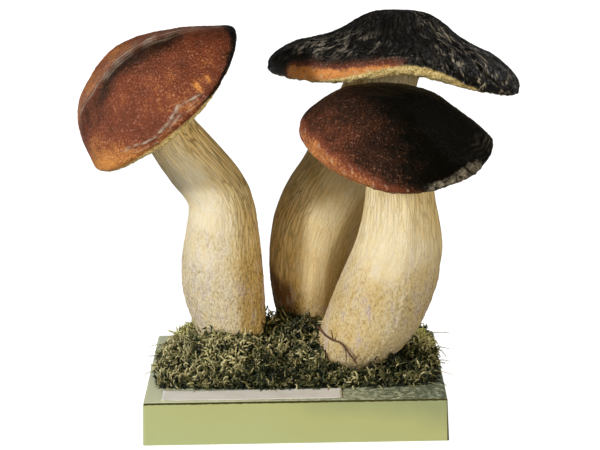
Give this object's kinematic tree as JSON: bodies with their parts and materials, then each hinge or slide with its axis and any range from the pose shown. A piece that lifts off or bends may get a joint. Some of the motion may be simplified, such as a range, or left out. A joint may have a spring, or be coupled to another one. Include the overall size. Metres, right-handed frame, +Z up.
{
  "type": "porcini mushroom group on a mossy base",
  "caption": "Porcini mushrooms with brown domed caps and thick pale stems, standing in dried moss on a low pale green plinth with a blank paper label strip.",
  "frame": {"origin": "centre of the plinth's flat underside", "axes": "+X to the viewer's right along the plinth's long side, +Y away from the viewer, +Z up"},
  "size_m": [0.2409, 0.1721, 0.2128],
  "materials": {
    "green_lacquer": "gloss",
    "label_paper": "matte",
    "dried_moss": "matte",
    "twig_bark": "matte",
    "cap_skin": "satin",
    "cap_skin_dark": "satin",
    "stem_skin": "matte",
    "pore_layer": "matte"
  },
  "bodies": {
    "root": {"plinth": "green_lacquer", "label": "label_paper", "moss": "dried_moss", "twig": "twig_bark", "mushroom_left": "cap_skin", "mushroom_rear": "cap_skin_dark", "mushroom_front": "cap_skin"}
  },
  "joints": []
}
